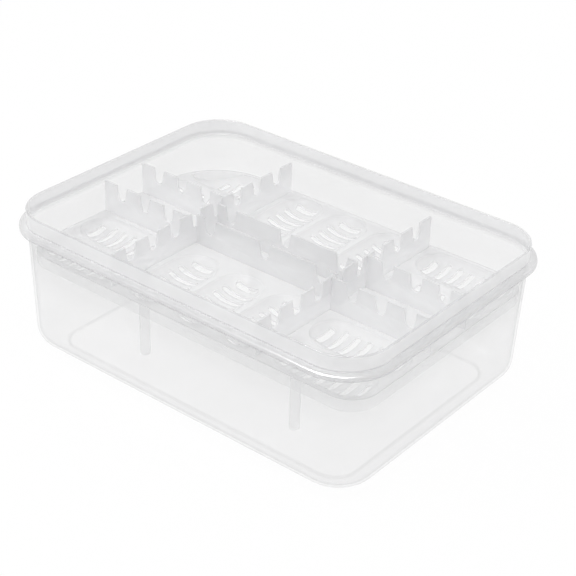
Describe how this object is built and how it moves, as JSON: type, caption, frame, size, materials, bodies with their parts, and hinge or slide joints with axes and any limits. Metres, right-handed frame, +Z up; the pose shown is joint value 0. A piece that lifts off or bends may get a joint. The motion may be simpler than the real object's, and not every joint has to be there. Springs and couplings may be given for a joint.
{
  "type": "sorting tray box",
  "caption": "Open frosted plastic box with a raised lift-out tray of slotted round-ended wells on legs, and notched upright dividers that keep small items apart.",
  "frame": {"origin": "centre of the box's flat underside, on the surface that it stands on", "axes": "+X along the long side, +Y to the back along the short side, +Z up out of the box"},
  "size_m": [0.31, 0.2256, 0.1083],
  "materials": {
    "box": "frosted translucent polypropylene",
    "tray": "frosted translucent plastic",
    "leg": "satin translucent plastic",
    "divider": "clear grey sheet, satin"
  },
  "bodies": {
    "box": {"box": "box"},
    "tray": {"tray": "tray", "leg_front_left": "leg", "leg_front_right": "leg", "leg_back_left": "leg", "leg_back_right": "leg"},
    "cross_left": {"cross_panel_left": "divider"},
    "cross_right": {"cross_panel_right": "divider"},
    "long_front_left": {"long_panel_front_left": "divider"},
    "long_front_middle": {"long_panel_front_middle": "divider"},
    "long_front_right": {"long_panel_front_right": "divider"},
    "long_back_left": {"long_panel_back_left": "divider"},
    "long_back_middle": {"long_panel_back_middle": "divider"},
    "long_back_right": {"long_panel_back_right": "divider"}
  },
  "joints": [
    {"name": "tray_lift", "type": "slide", "parent": "box", "child": "tray", "axis": [0, 0, 1], "range_m": [0, 0.115]},
    {"name": "cross_left_lift", "type": "slide", "parent": "tray", "child": "cross_left", "axis": [0, 0, 1], "range_m": [0, 0.04]},
    {"name": "cross_right_lift", "type": "slide", "parent": "tray", "child": "cross_right", "axis": [0, 0, 1], "range_m": [0, 0.04]},
    {"name": "long_front_left_lift", "type": "slide", "parent": "tray", "child": "long_front_left", "axis": [0, 0, 1], "range_m": [0, 0.04]},
    {"name": "long_front_middle_lift", "type": "slide", "parent": "tray", "child": "long_front_middle", "axis": [0, 0, 1], "range_m": [0, 0.04]},
    {"name": "long_front_right_lift", "type": "slide", "parent": "tray", "child": "long_front_right", "axis": [0, 0, 1], "range_m": [0, 0.04]},
    {"name": "long_back_left_lift", "type": "slide", "parent": "tray", "child": "long_back_left", "axis": [0, 0, 1], "range_m": [0, 0.04]},
    {"name": "long_back_middle_lift", "type": "slide", "parent": "tray", "child": "long_back_middle", "axis": [0, 0, 1], "range_m": [0, 0.04]},
    {"name": "long_back_right_lift", "type": "slide", "parent": "tray", "child": "long_back_right", "axis": [0, 0, 1], "range_m": [0, 0.04]}
  ]
}
